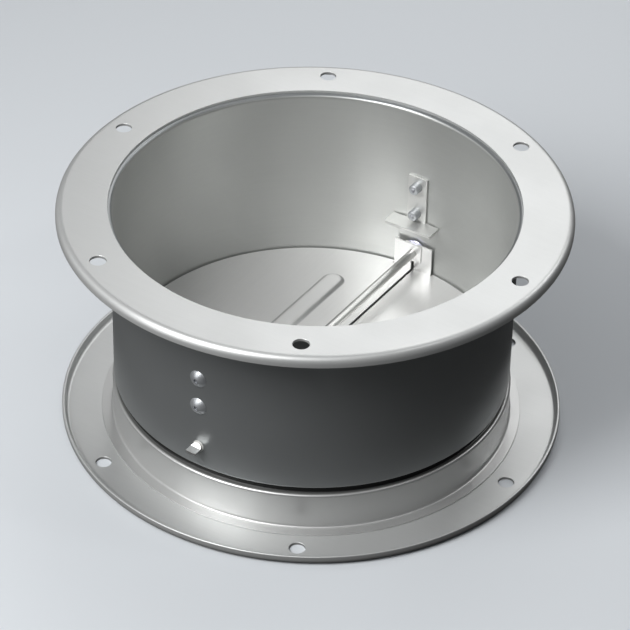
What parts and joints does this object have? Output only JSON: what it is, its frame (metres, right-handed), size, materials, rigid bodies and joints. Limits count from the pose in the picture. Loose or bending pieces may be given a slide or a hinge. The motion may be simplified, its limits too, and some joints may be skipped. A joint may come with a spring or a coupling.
{
  "type": "butterfly damper",
  "caption": "Short round duct section with bolted flanges and two half-round leaves on one spindle that the air opens and their weight shuts.",
  "frame": {"origin": "middle of the lower mating face, on the duct axis", "axes": "+Z along the duct axis, the way the air leaves and the leaves open; +Y along the spindle towards its rear end; +X to the right leaf"},
  "size_m": [0.314, 0.314, 0.154],
  "materials": {
    "casing_sheet": "satin light grey finish on sheet steel",
    "flange_sheet": "satin light grey finish on pressed steel",
    "leaf_sheet": "satin light grey sheet steel",
    "bracket_sheet": "satin light grey sheet steel",
    "spindle_steel": "satin drawn rod",
    "rivet_aluminium": "semi-gloss",
    "mandrel_steel": "dull broken end",
    "zinc_plate": "bright zinc with a blue cast",
    "bush_plastic": "natural"
  },
  "bodies": {
    "casing": {"casing_tube": "casing_sheet", "lower_flange_ring": "flange_sheet", "upper_flange_ring": "flange_sheet", "spindle": "spindle_steel", "front_wall_bush": "bush_plastic", "rear_wall_bush": "bush_plastic", "front_spindle_washer": "zinc_plate", "rear_spindle_washer": "zinc_plate", "front_stop_bracket": "bracket_sheet", "rear_stop_bracket": "bracket_sheet", "front_rivet_bodies": "rivet_aluminium", "rear_rivet_bodies": "rivet_aluminium", "front_rivet_mandrels": "mandrel_steel", "rear_rivet_mandrels": "mandrel_steel"},
    "left_leaf": {"left_leaf": "leaf_sheet"},
    "right_leaf": {"right_leaf": "leaf_sheet"}
  },
  "joints": [
    {"name": "left_leaf_hinge", "type": "hinge", "parent": "casing", "child": "left_leaf", "pos_m": [0, 0, 0.0472], "axis": [0, 1, 0], "range_deg": [0, 80]},
    {"name": "right_leaf_hinge", "type": "hinge", "parent": "casing", "child": "right_leaf", "pos_m": [0, 0, 0.0472], "axis": [0, -1, 0], "range_deg": [0, 80]}
  ]
}
